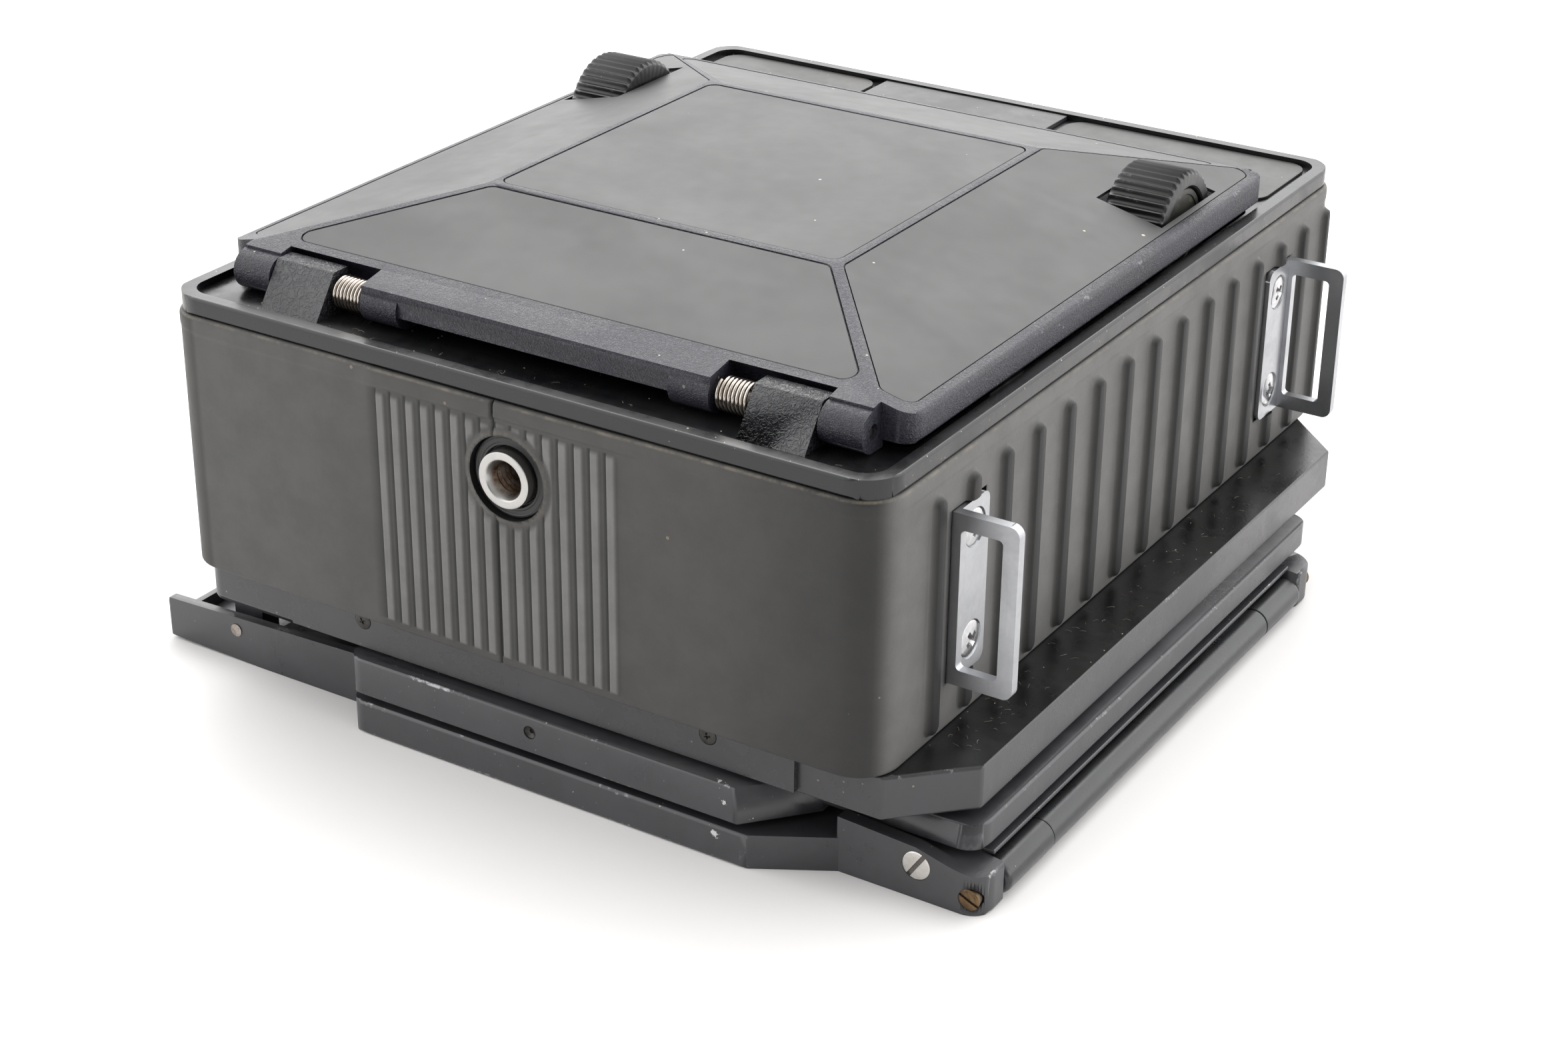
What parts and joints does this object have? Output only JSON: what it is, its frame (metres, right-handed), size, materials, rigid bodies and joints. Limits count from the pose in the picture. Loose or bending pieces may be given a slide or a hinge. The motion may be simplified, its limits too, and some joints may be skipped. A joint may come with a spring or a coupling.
{
  "type": "large format field camera",
  "caption": "Metal folding sheet film camera, closed on its back, with a hinged bed, focusing rack, bellows, lens standard and a revolving ground glass back.",
  "frame": {"origin": "below the middle of the bounding box, in the plane the ground glass frame rests on", "axes": "+Z out of the lens door, -Y out of the tripod socket's face, +X out of the strap lug face"},
  "size_m": [0.2102, 0.217, 0.1067],
  "materials": {
    "painted_casing": "satin",
    "rubber": "matte",
    "front_paint": "gloss",
    "deck_pads": "satin",
    "deck_metal": "satin",
    "socket_plate": "satin",
    "socket_steel": "brushed",
    "lug_metal": "satin",
    "screw_steel": "bright",
    "rear_paint": "satin",
    "black_screws": "blackened",
    "back_paint": "satin",
    "ring_metal": "anodised",
    "pin_steel": "bright",
    "slide_metal": "satin",
    "focusing_glass": "ground",
    "clip_metal": "satin",
    "rod_plastic": "satin",
    "bracket_metal": "satin",
    "rod_brass": "aged",
    "arm_nickel": "bright",
    "bellows_cloth": "matte",
    "bellows_metal": "matte",
    "rail_metal": "satin",
    "rack_brass": "bright",
    "standard_paint": "satin",
    "knob_metal": "knurled",
    "board_metal": "matte",
    "latch_metal": "satin",
    "bed_paint": "wrinkle",
    "bed_pads": "satin",
    "spring_nickel": "bright",
    "bearing_brass": "satin",
    "strut_steel": "satin",
    "strut_fittings": "satin",
    "button_plastic": "gloss",
    "knob_plastic": "knurled",
    "cap_metal": "worn"
  },
  "bodies": {
    "body": {"main_casing": "painted_casing", "rubber_cover": "rubber", "front_frame": "front_paint", "deck_pad_left": "deck_pads", "deck_pad_right": "deck_pads", "deck_plate": "deck_metal", "tripod_plate": "socket_plate", "tripod_bush": "socket_steel", "strap_lug_front": "lug_metal", "strap_lug_far": "lug_metal", "lug_screws": "screw_steel", "rear_frame": "rear_paint", "rear_cover_strip": "rear_paint", "cover_strip_screws": "black_screws", "bellows": "bellows_cloth", "bellows_rear_frame": "bellows_metal", "inner_rails": "rail_metal", "strut_guides": "strut_fittings", "hinge_springs": "spring_nickel"},
    "latch": {"latch_bar": "latch_metal", "latch_button": "button_plastic"},
    "bed": {"bed_plate": "bed_paint", "bed_pad_centre": "bed_pads", "bed_pad_front": "bed_pads", "bed_pad_far": "bed_pads", "bed_pad_left": "bed_pads", "bed_pad_right": "bed_pads", "hinge_pins": "pin_steel", "bed_track": "rail_metal", "bearing_blocks": "bearing_brass", "strut_brackets": "strut_fittings", "strut_pins": "pin_steel", "bed_catches": "latch_metal"},
    "pinion": {"pinion_shaft": "pin_steel", "pinion_gears": "rack_brass", "focus_knob_left": "knob_plastic", "focus_knob_right": "knob_plastic", "knob_caps": "cap_metal"},
    "carriage": {"focus_carriage": "rail_metal", "focus_racks": "rack_brass"},
    "left_strut": {"strut_left": "strut_steel"},
    "right_strut": {"strut_right": "strut_steel"},
    "standard": {"standard_foot": "standard_paint", "standard_frame": "standard_paint", "lens_panel": "standard_paint", "standard_knobs": "knob_metal", "lens_board": "board_metal"},
    "board_lock": {"board_latch": "latch_metal"},
    "back": {"back_frame": "back_paint", "turntable_ring": "ring_metal", "pivot_pins": "pin_steel"},
    "front_lock": {"lock_slide_front": "slide_metal"},
    "far_lock": {"lock_slide_far": "slide_metal"},
    "glass": {"glass_frame": "back_paint", "ground_glass": "focusing_glass", "glass_clips": "clip_metal", "grip_rod": "rod_plastic", "rod_bracket": "bracket_metal", "rod_screws": "rod_brass", "arm_screws": "arm_nickel"}
  },
  "joints": [
    {"name": "latch_press", "type": "slide", "parent": "body", "child": "latch", "axis": [0, -1, 0], "range_m": [0, 0.0015], "stiffness_N_per_m": 300, "springref_m": -0.002},
    {"name": "bed_hinge", "type": "hinge", "parent": "body", "child": "bed", "pos_m": [-0.002, -0.092, 0.0939], "axis": [1, 0, 0], "range_deg": [0, 90]},
    {"name": "pinion_turn", "type": "hinge", "parent": "bed", "child": "pinion", "pos_m": [-0.002, 0.0385, 0.0931], "axis": [1, 0, 0], "range_deg": [0, 531]},
    {"name": "carriage_slide", "type": "slide", "parent": "bed", "child": "carriage", "axis": [0, 1, 0], "range_m": [0, 0.05]},
    {"name": "left_strut_hinge", "type": "hinge", "parent": "bed", "child": "left_strut", "pos_m": [-0.0784, -0.047, 0.0889], "axis": [1, 0, 0], "range_deg": [-155, 0]},
    {"name": "right_strut_hinge", "type": "hinge", "parent": "bed", "child": "right_strut", "pos_m": [0.0744, -0.047, 0.0889], "axis": [1, 0, 0], "range_deg": [-155, 0]},
    {"name": "standard_slide", "type": "slide", "parent": "body", "child": "standard", "axis": [0, 0, 1], "range_m": [0, 0.006], "deforming": ["bellows"]},
    {"name": "board_latch_slide", "type": "slide", "parent": "standard", "child": "board_lock", "axis": [0, 1, 0], "range_m": [0, 0.004]},
    {"name": "back_turn", "type": "hinge", "parent": "body", "child": "back", "pos_m": [-0.002, -0.012, 0.018], "axis": [0, 0, 1], "continuous": true},
    {"name": "front_lock_slide", "type": "slide", "parent": "back", "child": "front_lock", "axis": [1, 0, 0], "range_m": [0, 0.006]},
    {"name": "far_lock_slide", "type": "slide", "parent": "back", "child": "far_lock", "axis": [1, 0, 0], "range_m": [0, 0.006]},
    {"name": "glass_hinge", "type": "hinge", "parent": "back", "child": "glass", "pos_m": [-0.0846, -0.012, 0.0077], "axis": [0, 1, 0], "range_deg": [0, 10], "stiffness_Nm_per_rad": 3, "springref_deg": -8.59}
  ],
  "couplings": [
    {"joint": "pinion_turn", "follows": "carriage_slide", "rad_per_m": 185.19},
    {"joint": "left_strut_hinge", "follows": "bed_hinge", "ratio": -1.7178},
    {"joint": "right_strut_hinge", "follows": "bed_hinge", "ratio": -1.7178}
  ]
}
